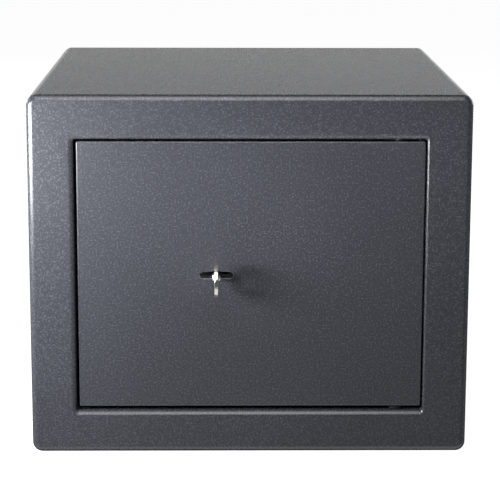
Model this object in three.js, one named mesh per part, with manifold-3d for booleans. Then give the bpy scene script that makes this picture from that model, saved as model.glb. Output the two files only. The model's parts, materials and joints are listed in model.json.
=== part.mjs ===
// A small key-locking furniture safe: a folded steel casing round a rebated door opening, a flush
// door on concealed pins, and a double-bit key lock that throws two round bolts to the left.
// Millimetres, +Z up, front towards -Y. The origin is the middle of the underside's footprint.
import * as THREE from 'three';
import { mergeVertices } from 'three/addons/utils/BufferGeometryUtils.js';
import Module from 'manifold-3d';

const wasm = await Module();
wasm.setup();

// ---------------------------------------------------------------- driving dimensions

const GAP = 0.3; // between pieces that touch
const ROUND = 28; // sides of a small round piece

// Casing
const WIDTH = 350;
const HEIGHT = 290;
const DEPTH = 370;
const SHEET = 3;
const CORNER_R = 8; // long edges of the casing
const FRONT_EDGE_R = 5; // front edges of the casing
const FRAME_RIM = 9; // how far the front frame wraps round onto the casing's sides
const FRONT = -DEPTH / 2;
const BACK = DEPTH / 2;

// Door opening: the front's edge rolls in with a radius, tighter on the hinge side, and runs
// back as a flange
const OPENING_LEFT = -138.7;
const OPENING_RIGHT = 139.5;
const OPENING_BOTTOM = 34.5;
const OPENING_TOP = 255;
const OPENING_CORNER_R = 2;
const LIP_R = 4.5;
const HINGE_LIP_R = 2;
const FLANGE_DEPTH = 22;
const FLANGE_END = FRONT + FLANGE_DEPTH;

// Door plate
const DOOR_LEFT = -136.6;
const DOOR_RIGHT = 138.2;
const DOOR_BOTTOM = 37.9;
const DOOR_TOP = 253.3;
const DOOR_RECESS = 3;
const DOOR_THICK = 6;
const DOOR_EDGE_R = 1;
const DOOR_FRONT = FRONT + DOOR_RECESS;
const DOOR_REAR = DOOR_FRONT + DOOR_THICK;
const DOOR_MID_Z = (DOOR_BOTTOM + DOOR_TOP) / 2;

// Hinge: a pin at each end of the door, turning in a bush in the opening's flange
const HINGE_X = DOOR_RIGHT - 20;
const HINGE_Y = DOOR_FRONT + 7.2;
const PIN_R = 4;
const PIN_LENGTH = 33;
const PIN_IN_DOOR = 24;
const BUSH_R = 5.3;
const BUSH_HEAD_R = 6.6;
const BUSH_HEAD = 3;
const WASHER_R = 6.6;
const UPPER_PIN_Z = OPENING_TOP + SHEET + BUSH_HEAD - 0.2 - PIN_LENGTH;
const HINGE_BLOCK = [25, 10.7, 26]; // x, y, z
const BORE_PLAY = 0.35;

// Lock
const KEY_X = -26.5;
const KEY_Z = 146;
const SLOT_HALF = 13.1; // half the keyhole's width
const SLOT_HEIGHT = 5;
const KEYHOLE_R = 4;
const HARDPLATE = 3;
const CASE_WALL = 2;
const CASE_HALF = 48;
const CASE_BELOW = 30;
const CASE_ABOVE = 38;
const CASE_DEPTH = 24.4;
const HARDPLATE_FRONT = DOOR_REAR + GAP;
const CASE_FRONT = HARDPLATE_FRONT + HARDPLATE + GAP;
const LID_FRONT = CASE_FRONT + CASE_DEPTH + GAP;
const LID_REAR = LID_FRONT + CASE_WALL;
const ROTOR_R = 13;
const PRONG_R = 5.6;
const CRANK = 8; // crank radius: half the bolts' travel
const CRANK_PIN_R = 2.5;
const THROW = 2 * CRANK;

// Levers
const LEVERS = 6;
const LEVER_THICK = 1.6;
const LEVER_PITCH = 2.2;
const LEVER_HALF = 44;
const LEVER_HALF_TALL = 24;
const LEVER_HOLE_R = 14.2;
const LEVER_TRAVEL = 2.5;
const LEVER_FRONT = CASE_FRONT + CASE_WALL + 1;
const FENCE_X = KEY_X - 22; // the fence's place with the bolts drawn back
const FENCE = [4, 4]; // x, z

// Bolt work
const CARRIAGE = 3;
const CARRIAGE_FRONT = LID_REAR + 3.2;
const CARRIAGE_FLANGE_X = -103; // right face of the flange that carries the bolts
const CARRIAGE_HALF_TALL = 76;
const CARRIAGE_WIDE = 47;
const ARM_HALF_TALL = 15;
const BOLT_R = 8;
const BOLT_SPREAD = 62; // each bolt's height above or below the keyhole
const BOLT_Y = FLANGE_END + 2 + BOLT_R;
const BOLT_TIP = -133.6;
const SPIGOT_R = 4.9;
const RAIL_X = -128;
const RAIL_HALF_TALL = 88;
const RAIL_FOOT = 25;
const STUD_X = -88;
const STUD_SPREAD = 38;
const STUD_R = 4;

// Door cover
const COVER_SHEET = 1.5;
const COVER_REAR = CARRIAGE_FRONT + CARRIAGE + 7;
const COVER_RIGHT = 95;
const COVER_HALF_TALL = 88;
const COVER_FOOT = 13;
const DOG_REACH = 10; // how far the dog bar passes behind the hinge side's flange
const DOG_HALF_TALL = 70;

// Fittings in the casing
const ANCHOR_R = 6;
const PLUG_HEAD_R = 9;
const ANCHOR_X = 90;
const ANCHOR_FLOOR_Y = 20;
const ANCHOR_BACK_Z = 190;
const MAT = 3;
const SHELF_TOP = 152;
const SHELF_SHEET = 1.5;
const SHELF_LIP = 14;
const SHELF_FRONT = -104;
const RAIL_WIDE = 16;
const RAIL_SHEET = 2;

// ---------------------------------------------------------------- materials

const finish = (color, roughness, metalness) =>
  new THREE.MeshStandardMaterial({ color, roughness, metalness });
const powderCoat = () => finish(0x4b4e55, 0.55, 0.35);
const innerPaint = () => finish(0x3c3f45, 0.6, 0.2);
const zincSteel = () => finish(0xa9adb0, 0.4, 0.9);
const brightSteel = () => finish(0xc4c6c8, 0.22, 1);
const hardSteel = () => finish(0x55585c, 0.45, 0.9);
const nickel = () => finish(0xd0cec6, 0.18, 1);
const brass = () => finish(0xb8954f, 0.35, 1);
const springSteel = () => finish(0x7d8288, 0.3, 1);
const blackPlastic = () => finish(0x17181a, 0.5, 0);
const feltMat = () => finish(0x2b2c30, 0.95, 0);

// ---------------------------------------------------------------- shapes and solids

// A closed three.js geometry as a solid that can be cut and joined.
function solidOf(geometry) {
  const bare = geometry.clone();
  bare.deleteAttribute('normal');
  bare.deleteAttribute('uv');
  const merged = mergeVertices(bare, 1e-4);
  return new wasm.Manifold(
    new wasm.Mesh({
      numProp: 3,
      vertProperties: merged.attributes.position.array,
      triVerts: new Uint32Array(merged.index.array),
    }),
  );
}

function geometryOf(solid) {
  const made = solid.getMesh();
  const geometry = new THREE.BufferGeometry();
  geometry.setAttribute('position', new THREE.BufferAttribute(made.vertProperties, 3));
  geometry.setIndex(new THREE.BufferAttribute(made.triVerts, 1));
  const flat = geometry.toNonIndexed();
  flat.computeVertexNormals();
  return flat;
}

function piece(name, shape, material, at = [0, 0, 0]) {
  const geometry = shape.isBufferGeometry ? shape : geometryOf(shape);
  const mesh = new THREE.Mesh(geometry, material);
  mesh.name = name;
  mesh.position.set(...at);
  return mesh;
}

// A box from its low and high corners.
function block(x0, x1, y0, y1, z0, z1) {
  const box = new THREE.BoxGeometry(x1 - x0, y1 - y0, z1 - z0);
  return solidOf(box.translate((x0 + x1) / 2, (y0 + y1) / 2, (z0 + z1) / 2));
}

// A rectangle with round corners, from its low and high corners.
function roundedRect(x0, x1, z0, z1, r) {
  const shape = new THREE.Shape();
  shape.absarc(x1 - r, z0 + r, r, -Math.PI / 2, 0);
  shape.absarc(x1 - r, z1 - r, r, 0, Math.PI / 2);
  shape.absarc(x0 + r, z1 - r, r, Math.PI / 2, Math.PI);
  shape.absarc(x0 + r, z0 + r, r, Math.PI, 1.5 * Math.PI);
  return shape;
}

// An outline in the XZ plane made solid from yFront back to yRear.
function extrudeY(shape, yFront, yRear, options = {}) {
  const ends = options.bevelEnabled ? options.bevelThickness : 0;
  const geometry = new THREE.ExtrudeGeometry(shape, {
    depth: yRear - yFront - 2 * ends,
    bevelEnabled: false,
    curveSegments: 6,
    ...options,
  });
  return solidOf(geometry.rotateX(Math.PI / 2).translate(0, yRear - ends, 0));
}

// An outline in the XY plane made solid from zLow up to zHigh.
function extrudeZ(shape, zLow, zHigh) {
  const geometry = new THREE.ExtrudeGeometry(shape, { depth: zHigh - zLow, bevelEnabled: false });
  return solidOf(geometry.translate(0, 0, zLow));
}

function polygon(points) {
  return new THREE.Shape(points.map(([a, b]) => new THREE.Vector2(a, b)));
}

// A round bar of radius r between two heights, its axis along 'x', 'y' or 'z' through a point.
function bar(axis, r, low, high, [x, y, z], sides = ROUND) {
  const geometry = new THREE.CylinderGeometry(r, r, high - low, sides);
  const middle = (low + high) / 2;
  if (axis === 'x') geometry.rotateZ(-Math.PI / 2).translate(middle, y, z);
  if (axis === 'y') geometry.translate(x, middle, z);
  if (axis === 'z') geometry.rotateX(Math.PI / 2).translate(x, y, middle);
  return solidOf(geometry);
}

// A turned profile of [radius, height] points, given from its low end to its high end.
function turned(profile, sides = ROUND) {
  const points = profile.map(([r, h]) => new THREE.Vector2(r, h));
  return solidOf(new THREE.LatheGeometry(points, sides));
}

// The keyhole's outline: a slot with round ends and a round hole in its middle.
function keyholeCut(half, height, holeR, yFront, yRear) {
  const r = height / 2;
  const slot = roundedRect(KEY_X - half, KEY_X + half, KEY_Z - r, KEY_Z + r, r - 0.01);
  return extrudeY(slot, yFront, yRear).add(bar('y', holeR, yFront, yRear, [KEY_X, 0, KEY_Z]));
}

// ---------------------------------------------------------------- casing

const inset = (by) =>
  roundedRect(by - WIDTH / 2, WIDTH / 2 - by, by, HEIGHT - by, CORNER_R - by);

const bevel = (size, offset) => ({
  bevelEnabled: true,
  bevelThickness: Math.abs(size),
  bevelSize: size,
  bevelOffset: offset,
  bevelSegments: 4,
});

// The pressed frame round the door opening, with its rim and its return flange.
function frontFrame() {
  const rimEnd = FRONT + FRAME_RIM;
  const blankEnd = FLANGE_END + 20;
  const flange = extrudeY(
    roundedRect(
      OPENING_LEFT - SHEET,
      OPENING_RIGHT + SHEET,
      OPENING_BOTTOM - SHEET,
      OPENING_TOP + SHEET,
      OPENING_CORNER_R + SHEET,
    ),
    FRONT,
    FLANGE_END,
  );
  const opening = (right) =>
    roundedRect(OPENING_LEFT, right, OPENING_BOTTOM, OPENING_TOP, OPENING_CORNER_R);
  const wideLip = opening(OPENING_RIGHT - LIP_R + HINGE_LIP_R);
  const hingeLip = opening(OPENING_RIGHT);
  return extrudeY(inset(0), FRONT, blankEnd, bevel(FRONT_EDGE_R, -FRONT_EDGE_R))
    .subtract(extrudeY(inset(SHEET), FRONT + SHEET, blankEnd + 1).subtract(flange))
    .subtract(block(-WIDTH, WIDTH, rimEnd, blankEnd + 1, -10, HEIGHT + 10).subtract(flange))
    .subtract(extrudeY(wideLip, FRONT, blankEnd, bevel(-LIP_R, LIP_R)))
    .subtract(extrudeY(hingeLip, FRONT, blankEnd, bevel(-HINGE_LIP_R, HINGE_LIP_R)))
    .subtract(
      bar('z', BUSH_R + GAP, OPENING_BOTTOM - 5, OPENING_TOP + 5, [HINGE_X, HINGE_Y, 0]),
    );
}

// The sheet folded round into the casing's base, sides and top.
function casingWrap() {
  const outline = inset(0);
  outline.holes.push(inset(SHEET));
  let wrap = extrudeY(outline, FRONT + FRAME_RIM + GAP, BACK);
  for (const side of [-1, 1])
    wrap = wrap.subtract(bar('z', ANCHOR_R, -1, SHEET + 1, [side * ANCHOR_X, ANCHOR_FLOOR_Y, 0]));
  return wrap;
}

function backPanel() {
  let panel = extrudeY(inset(SHEET + GAP), BACK - SHEET, BACK);
  for (const side of [-1, 1])
    panel = panel.subtract(
      bar('y', ANCHOR_R, BACK - SHEET - 1, BACK + 1, [side * ANCHOR_X, 0, ANCHOR_BACK_Z]),
    );
  return panel;
}

// A push-in plug for an anchor hole, standing on the inner face with its stem in the hole.
function anchorPlug() {
  const stem = SHEET - 0.5;
  return turned([
    [0, -stem],
    [ANCHOR_R - GAP - 0.4, -stem],
    [ANCHOR_R - GAP, 0.6 - stem],
    [ANCHOR_R - GAP, GAP],
    [PLUG_HEAD_R, GAP],
    [PLUG_HEAD_R, 1.2],
    [PLUG_HEAD_R - 1, 2],
    [0, 2.2],
  ]);
}

function floorMat() {
  const half = WIDTH / 2 - CORNER_R - 0.5;
  const outline = roundedRect(-half, half, FLANGE_END + 14, BACK - SHEET - 1, 4);
  let mat = extrudeZ(outline, SHEET + GAP, SHEET + GAP + MAT);
  for (const side of [-1, 1])
    mat = mat.subtract(bar('z', PLUG_HEAD_R + 1.5, 0, 10, [side * ANCHOR_X, ANCHOR_FLOOR_Y, 0]));
  return mat;
}

// The shelf is a tray turned upside down: a flat top with its front and rear edges folded down.
function shelf() {
  const half = WIDTH / 2 - SHEET - 1.2;
  const rear = BACK - SHEET - 8;
  const under = SHELF_TOP - SHELF_SHEET;
  return block(-half, half, SHELF_FRONT, rear, SHELF_TOP - SHELF_LIP, SHELF_TOP)
    .subtract(
      block(-half - 1, half + 1, SHELF_FRONT + SHELF_SHEET, rear - SHELF_SHEET, 0, under),
    )
    .subtract(block(-half - 1, RAIL_WIDE - half, SHELF_FRONT - 1, rear + 1, 0, under))
    .subtract(block(half - RAIL_WIDE, half + 1, SHELF_FRONT - 1, rear + 1, 0, under));
}

// An angle welded to a side wall; side is -1 for the left one and 1 for the right one.
function shelfRail(side) {
  const wall = WIDTH / 2 - SHEET - GAP;
  const top = SHELF_TOP - SHELF_SHEET - GAP;
  const leg = 13;
  const outline = polygon([
    [0, 0],
    [0, -leg],
    [RAIL_SHEET, -leg],
    [RAIL_SHEET, -RAIL_SHEET],
    [RAIL_WIDE - 2, -RAIL_SHEET],
    [RAIL_WIDE - 2, 0],
  ].reverse());
  const length = BACK - SHEET - 16 - (SHELF_FRONT + 4);
  const rail = extrudeY(outline, 0, length);
  const turnedOver = side > 0 ? rail.mirror([1, 0, 0]) : rail;
  return turnedOver.translate(side * wall, SHELF_FRONT + 4, top);
}

// ---------------------------------------------------------------- hinge

// A flanged bush, standing on its head at height 0 with its collar running down into the hole.
function hingeBush() {
  const collar = SHEET - 0.2;
  const bush = turned([
    [0, -collar],
    [BUSH_R, -collar],
    [BUSH_R, GAP],
    [BUSH_HEAD_R, GAP],
    [BUSH_HEAD_R, BUSH_HEAD - 0.6],
    [BUSH_HEAD_R - 0.6, BUSH_HEAD],
    [0, BUSH_HEAD],
  ]).rotate([90, 0, 0]);
  return bush.subtract(bar('z', PIN_R + BORE_PLAY, -10, 10, [0, 0, 0]));
}

function hingePin() {
  return turned([
    [0, 0],
    [PIN_R - 0.5, 0],
    [PIN_R, 0.8],
    [PIN_R, PIN_LENGTH - 1.5],
    [PIN_R - 1.5, PIN_LENGTH],
    [0, PIN_LENGTH],
  ]).rotate([90, 0, 0]);
}

function thrustWasher() {
  const ring = new THREE.Shape().absarc(0, 0, WASHER_R, 0, 2 * Math.PI);
  ring.holes.push(new THREE.Path().absarc(0, 0, PIN_R + BORE_PLAY, 0, 2 * Math.PI));
  return extrudeZ(ring, GAP, DOOR_BOTTOM - OPENING_BOTTOM - GAP);
}

// A block welded behind a corner of the door, grooved for half of the pin.
function hingeBlock() {
  const [x, y, z] = HINGE_BLOCK;
  const outline = new THREE.Shape();
  outline.moveTo(-x / 2, 0);
  outline.lineTo(x / 2, 0);
  outline.lineTo(x / 2, y - 3);
  outline.absarc(x / 2 - 3, y - 3, 3, 0, Math.PI / 2);
  outline.absarc(3 - x / 2, y - 3, 3, Math.PI / 2, Math.PI);
  const groove = bar('z', PIN_R + BORE_PLAY, -1, z + 1, [0, HINGE_Y - DOOR_REAR - GAP, 0]);
  return extrudeZ(outline, 0, z).subtract(groove);
}

// ---------------------------------------------------------------- door

const lockScrews = [-1, 1].flatMap((sx) =>
  [KEY_Z - CASE_BELOW + 6, KEY_Z + CASE_ABOVE - 6].map((z) => [KEY_X + sx * (CASE_HALF - 6), z]),
);
const coverScrews = [-92, 84].flatMap((x) =>
  [-1, 1].map((s) => [x, KEY_Z + s * (COVER_HALF_TALL + COVER_FOOT / 2)]),
);
const SCREW_R = 2;
const BLIND = 3; // depth of a tapped hole in the door plate

function doorPlate() {
  const outline = roundedRect(DOOR_LEFT, DOOR_RIGHT, DOOR_BOTTOM, DOOR_TOP, 1.4);
  let plate = extrudeY(outline, DOOR_FRONT, DOOR_REAR, {
    bevelEnabled: true,
    bevelThickness: DOOR_EDGE_R,
    bevelSize: DOOR_EDGE_R,
    bevelOffset: -DOOR_EDGE_R,
    bevelSegments: 3,
  });
  plate = plate.subtract(
    keyholeCut(SLOT_HALF, SLOT_HEIGHT, KEYHOLE_R, DOOR_FRONT - 1, DOOR_REAR + 1),
  );
  const [low, high] = [DOOR_BOTTOM + PIN_IN_DOOR + 0.6, UPPER_PIN_Z - 0.6];
  const groove = (z0, z1) => bar('z', PIN_R + BORE_PLAY, z0, z1, [HINGE_X, HINGE_Y, 0]);
  plate = plate.subtract(groove(0, low)).subtract(groove(high, HEIGHT));
  for (const [x, z] of [...lockScrews, ...coverScrews])
    plate = plate.subtract(
      bar('y', SCREW_R + GAP, DOOR_REAR - BLIND, DOOR_REAR + 1, [x, 0, z], 16),
    );
  return plate;
}

// The bar behind the door that hooks behind the frame on the hinge side.
function dogBar() {
  const left = HINGE_X - 12;
  const thick = 6;
  const rear = FLANGE_END + 1.8 + thick;
  const reach = OPENING_RIGHT + DOG_REACH;
  const outline = polygon([
    [left, DOOR_REAR + GAP],
    [left + thick, DOOR_REAR + GAP],
    [left + thick, rear - thick],
    [reach - 1.5, rear - thick],
    [reach, rear - thick + 1.5],
    [reach, rear],
    [left + 2, rear],
    [left, rear - 2],
  ]);
  return extrudeZ(outline, DOOR_MID_Z - DOG_HALF_TALL, DOOR_MID_Z + DOG_HALF_TALL);
}

// An angle welded behind the door's closing edge: the two bolts slide through its upright leg.
function boltGuideRail() {
  const front = DOOR_REAR + GAP;
  const rear = COVER_REAR - COVER_SHEET - GAP;
  const outline = polygon([
    [RAIL_X, front],
    [RAIL_X + RAIL_FOOT, front],
    [RAIL_X + RAIL_FOOT, front + SHEET],
    [RAIL_X + SHEET, front + SHEET],
    [RAIL_X + SHEET, rear],
    [RAIL_X, rear],
  ]);
  let rail = extrudeZ(outline, KEY_Z - RAIL_HALF_TALL, KEY_Z + RAIL_HALF_TALL);
  for (const s of [-1, 1]) {
    const at = [0, BOLT_Y, KEY_Z + s * BOLT_SPREAD];
    rail = rail.subtract(bar('x', BOLT_R + BORE_PLAY, RAIL_X - 1, RAIL_X + SHEET + 1, at));
  }
  return rail;
}

function hardplate() {
  const outline = roundedRect(
    KEY_X - CASE_HALF,
    KEY_X + CASE_HALF,
    KEY_Z - CASE_BELOW,
    KEY_Z + CASE_ABOVE,
    3,
  );
  const rear = HARDPLATE_FRONT + HARDPLATE;
  let plate = extrudeY(outline, HARDPLATE_FRONT, rear).subtract(
    keyholeCut(SLOT_HALF + 0.4, 4.2, 3.7, HARDPLATE_FRONT - 1, rear + 1),
  );
  for (const [x, z] of lockScrews)
    plate = plate.subtract(bar('y', SCREW_R + GAP, HARDPLATE_FRONT - 1, rear + 1, [x, 0, z], 16));
  return plate;
}

function lockCase() {
  const [x0, x1] = [KEY_X - CASE_HALF, KEY_X + CASE_HALF];
  const [z0, z1] = [KEY_Z - CASE_BELOW, KEY_Z + CASE_ABOVE];
  const rear = CASE_FRONT + CASE_DEPTH;
  const floor = CASE_FRONT + CASE_WALL;
  const inside = roundedRect(x0 + CASE_WALL, x1 - CASE_WALL, z0 + CASE_WALL, z1 - CASE_WALL, 1);
  let box = extrudeY(roundedRect(x0, x1, z0, z1, 3), CASE_FRONT, rear).subtract(
    extrudeY(inside, floor, rear + 1),
  );
  for (const [x, z] of lockScrews) box = box.add(bar('y', 3.6, floor - 1, rear, [x, 0, z], 16));
  box = box.subtract(keyholeCut(SLOT_HALF + 0.4, 3.8, 3.6, CASE_FRONT - 1, floor + 1));
  for (const [x, z] of lockScrews)
    box = box.subtract(bar('y', SCREW_R + GAP, CASE_FRONT - 1, rear + 1, [x, 0, z], 16));
  return box;
}

function lockLid() {
  const outline = roundedRect(
    KEY_X - CASE_HALF,
    KEY_X + CASE_HALF,
    KEY_Z - CASE_BELOW,
    KEY_Z + CASE_ABOVE,
    3,
  );
  let lid = extrudeY(outline, LID_FRONT, LID_REAR)
    .subtract(bar('y', ROTOR_R + BORE_PLAY, LID_FRONT - 1, LID_REAR + 1, [KEY_X, 0, KEY_Z], 40))
    .subtract(fenceWindow(0.6, LID_FRONT - 1, LID_REAR + 1));
  for (const [x, z] of lockScrews)
    lid = lid.subtract(bar('y', SCREW_R + GAP, LID_FRONT - 1, LID_REAR + 1, [x, 0, z], 16));
  return lid;
}

// The slot that the fence travels in, with its play above and below.
function fenceWindow(play, yFront, yRear) {
  const [w, h] = FENCE;
  return block(
    FENCE_X - THROW - w / 2 - 0.8,
    FENCE_X + w / 2 + 0.8,
    yFront,
    yRear,
    KEY_Z - h / 2 - play,
    KEY_Z + h / 2 + play,
  );
}

// A pan-head screw along +Y: its head's underside is at 0 and its shank runs to -length.
function panScrew(length) {
  const screw = turned([
    [0, -length],
    [SCREW_R - 0.5, -length],
    [SCREW_R, 0.8 - length],
    [SCREW_R, GAP],
    [3.8, GAP],
    [3.8, 1.3],
    [3.2, 2.3],
    [0, 2.7],
  ], 20);
  const slot = block(-0.5, 0.5, 1.5, 4, -4.5, 4.5);
  return screw.subtract(slot).subtract(slot.rotate([0, 90, 0]));
}

function guideStud() {
  const [foot, top] = [DOOR_REAR + GAP, CARRIAGE_FRONT + CARRIAGE + 0.6];
  return turned([
    [0, foot],
    [STUD_R + 1.5, foot],
    [STUD_R + 1.5, CARRIAGE_FRONT - 0.6],
    [STUD_R, CARRIAGE_FRONT - 0.6],
    [STUD_R, top],
    [STUD_R + 2.5, top],
    [STUD_R + 2.5, top + 1.6],
    [STUD_R + 1.5, top + 2.4],
    [0, top + 2.4],
  ]);
}

// The cover over the bolt work: a pan, open on its left, with a screwed foot above and below.
function boltCover() {
  const left = RAIL_X + 0.2;
  const front = DOOR_REAR + GAP;
  const [z0, z1] = [KEY_Z - COVER_HALF_TALL, KEY_Z + COVER_HALF_TALL];
  const t = COVER_SHEET;
  const rear = COVER_REAR;
  // The rear panel reaches over the guide rail; the walls start to the right of the rail's foot.
  const wallLeft = RAIL_X + RAIL_FOOT + 0.6;
  let cover = block(left, COVER_RIGHT, rear - t, rear, z0, z1)
    .add(block(wallLeft, COVER_RIGHT, front, rear, z0, z0 + t))
    .add(block(wallLeft, COVER_RIGHT, front, rear, z1 - t, z1))
    .add(block(COVER_RIGHT - t, COVER_RIGHT, front, rear, z0, z1))
    .add(block(wallLeft, COVER_RIGHT, front, front + t, z0 - COVER_FOOT, z0 + t))
    .add(block(wallLeft, COVER_RIGHT, front, front + t, z1 - t, z1 + COVER_FOOT));
  for (const [x, z] of coverScrews)
    cover = cover.subtract(bar('y', SCREW_R + GAP, front - 1, front + t + 1, [x, 0, z], 16));
  return cover;
}

// ---------------------------------------------------------------- bolt carriage

function boltCarriage() {
  const [front, rear] = [CARRIAGE_FRONT, CARRIAGE_FRONT + CARRIAGE];
  const [z0, z1] = [KEY_Z - CARRIAGE_HALF_TALL, KEY_Z + CARRIAGE_HALF_TALL];
  const left = CARRIAGE_FLANGE_X - SHEET;
  let plate = block(left, left + CARRIAGE_WIDE, front, rear, z0, z1)
    .add(block(left, KEY_X + CRANK + 14, front, rear, KEY_Z - ARM_HALF_TALL, KEY_Z + ARM_HALF_TALL))
    .add(block(left, CARRIAGE_FLANGE_X, BOLT_Y - BOLT_R - 1, rear, z0, z1));
  const halfSlot = CRANK_PIN_R + 2.1; // the pin swings 1.7 mm past the carriage's steady travel
  const crankX = KEY_X + CRANK;
  plate = plate.subtract(
    block(crankX - halfSlot, crankX + halfSlot, front - 1, rear + 1, KEY_Z - 3.5, KEY_Z + CRANK + 3.5),
  );
  for (const s of [-1, 1]) {
    const z = KEY_Z + s * STUD_SPREAD;
    const r = STUD_R + BORE_PLAY;
    const slot = roundedRect(STUD_X - r - 0.5, STUD_X + THROW + r + 0.5, z - r, z + r, r - 0.01);
    plate = plate.subtract(extrudeY(slot, front - 1, rear + 1));
    const at = [0, BOLT_Y, KEY_Z + s * BOLT_SPREAD];
    plate = plate.subtract(bar('x', SPIGOT_R + GAP, left - 1, CARRIAGE_FLANGE_X + 1, at));
  }
  // The fence stands on the arm and runs forwards through the lid and the levers' windows.
  const [w, h] = FENCE;
  const fence = block(
    FENCE_X - w / 2,
    FENCE_X + w / 2,
    LEVER_FRONT,
    front + 1,
    KEY_Z - h / 2,
    KEY_Z + h / 2,
  );
  return plate.add(fence);
}

// A round bolt along X: its tip is at 0 and its riveted spigot ends behind the carriage's flange.
function lockingBolt() {
  const shoulder = CARRIAGE_FLANGE_X - SHEET - GAP - BOLT_TIP;
  const headAt = CARRIAGE_FLANGE_X + GAP - BOLT_TIP;
  return turned([
    [0, 0],
    [BOLT_R - 1.6, 0],
    [BOLT_R - 0.5, 0.5],
    [BOLT_R, 1.6],
    [BOLT_R, shoulder],
    [SPIGOT_R, shoulder],
    [SPIGOT_R, headAt],
    [7, headAt],
    [6, headAt + 2],
    [0, headAt + 2.4],
  ]).rotate([0, 0, -90]);
}

// ---------------------------------------------------------------- lock mechanism

function keyRotor() {
  const disc = bar('y', ROTOR_R, LID_FRONT - 4, LID_REAR - 0.2, [0, 0, 0], 40);
  const prongs = bar('y', PRONG_R, CASE_FRONT + CASE_WALL + 0.5, LID_FRONT - 3, [0, 0, 0])
    .subtract(bar('y', 3.4, CASE_FRONT, LID_FRONT - 4, [0, 0, 0]))
    .subtract(block(-20, 20, CASE_FRONT, LID_FRONT - 4, -1.65, 1.65));
  const pinRear = CARRIAGE_FRONT + CARRIAGE + 0.4;
  return disc.add(prongs).add(bar('y', CRANK_PIN_R, LID_REAR - 1, pinRear, [CRANK, 0, 0]));
}

function lever(index) {
  const y = LEVER_FRONT + index * LEVER_PITCH;
  const [x0, x1] = [KEY_X - LEVER_HALF, KEY_X + LEVER_HALF];
  const [z0, z1] = [KEY_Z - LEVER_HALF_TALL, KEY_Z + LEVER_HALF_TALL];
  const clip = 10; // cut corners that pass the screw posts
  const outline = polygon([
    [x0 + clip, z0],
    [x1 - clip, z0],
    [x1, z0 + clip],
    [x1, z1],
    [x0, z1],
    [x0, z0 + clip],
  ]);
  const gate = 1.4 + 0.25 * (index % 3); // each lever's gate lies at its own height
  return extrudeY(outline, y, y + LEVER_THICK)
    .subtract(bar('y', LEVER_HOLE_R, y - 1, y + 5, [KEY_X, 0, KEY_Z], 36))
    .subtract(fenceWindow(LEVER_TRAVEL + gate / 4, y - 1, y + 5));
}

// A comb of leaf springs, one over each lever, bent from a strip held under the case's roof.
function leverSpring() {
  const roof = KEY_Z + CASE_ABOVE - CASE_WALL - GAP;
  const tip = KEY_Z + LEVER_HALF_TALL + GAP;
  const t = 0.6;
  const right = KEY_X + 30;
  const left = KEY_X - 30;
  const outline = polygon([
    [right, roof - t],
    [right, roof],
    [right - 14, roof],
    [left + 3, tip + t],
    [left, tip + t + 0.8],
    [left, tip + 0.8],
    [left + 3, tip],
    [right - 14, roof - t],
  ]);
  const [y0, y1] = [LEVER_FRONT, LEVER_FRONT + (LEVERS - 1) * LEVER_PITCH + LEVER_THICK];
  let comb = extrudeY(outline, y0, y1);
  for (let i = 1; i < LEVERS; i++) {
    const y = LEVER_FRONT + i * LEVER_PITCH - (LEVER_PITCH - LEVER_THICK) / 2;
    comb = comb.subtract(block(left - 1, right - 16, y - 0.3, y + 0.3, tip - 1, roof + 1));
  }
  return comb;
}

// The double-bit key, its shank along Y with the origin at the shank's inner tip.
function key() {
  const shankR = 3;
  const shankEnd = DOOR_FRONT - KEY_SHOULDER - KEY_TIP;
  const shank = turned([
    [0, shankEnd],
    [shankR + 0.3, shankEnd],
    [shankR + 0.3, shankEnd + 5],
    [shankR, shankEnd + 6],
    [shankR, -0.8],
    [shankR - 0.8, 0],
    [0, 0],
  ]);
  const bow = new THREE.Shape();
  const [bowHalf, bowTall] = [BOW_LONG / 2, BOW_TALL / 2];
  bow.absellipse(shankEnd - bowHalf + 1.5, 0, bowHalf, bowTall, 0, 2 * Math.PI);
  const hole = new THREE.Path();
  hole.absarc(shankEnd - bowHalf + 1, 0, BOW_HOLE_R, 0, 2 * Math.PI);
  bow.holes.push(hole);
  const bowGeometry = new THREE.ExtrudeGeometry(bow, {
    depth: BOW_THICK - 1.2,
    bevelThickness: 0.6,
    bevelSize: 0.6,
    bevelOffset: -0.6,
    bevelSegments: 2,
    curveSegments: 14,
  });
  // The outline's X becomes -Y's run along the shank, its Y the height, its depth the thickness.
  bowGeometry.translate(0, 0, 0.6 - BOW_THICK / 2).rotateX(Math.PI / 2).rotateZ(Math.PI / 2);
  const bitFront = BIT_FRONT - KEY_TIP;
  const bits = [-1, 1].map((side) => {
    let bit = block(Math.min(0, side * BIT_REACH), Math.max(0, side * BIT_REACH), bitFront, -0.9, -1.3, 1.3);
    BITTING.forEach((cut, i) => {
      const depth = side > 0 ? cut : BITTING[(i + 2) % BITTING.length];
      const y = LEVER_FRONT - KEY_TIP + i * LEVER_PITCH - 0.3;
      const [a, b] = [side * (BIT_REACH - depth), side * (BIT_REACH + 1)];
      bit = bit.subtract(block(Math.min(a, b), Math.max(a, b), y, y + LEVER_PITCH, -2, 2));
    });
    return bit;
  });
  return shank.add(solidOf(bowGeometry)).add(bits[0]).add(bits[1]);
}

const KEY_TIP = LID_FRONT - 4.4;
const BIT_FRONT = CASE_FRONT + CASE_WALL + 0.6;
const BIT_REACH = 12.5;
const BITTING = [1.2, 2.8, 0.6, 3.4, 2, 1.2]; // how deep each lever's step is cut
const KEY_SHOULDER = 12; // where the shank meets the bow, in front of the door
const BOW_TALL = 25;
const BOW_LONG = 26;
const BOW_HOLE_R = 7.5;
const BOW_THICK = 3.2;

// ---------------------------------------------------------------- assembly

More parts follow.
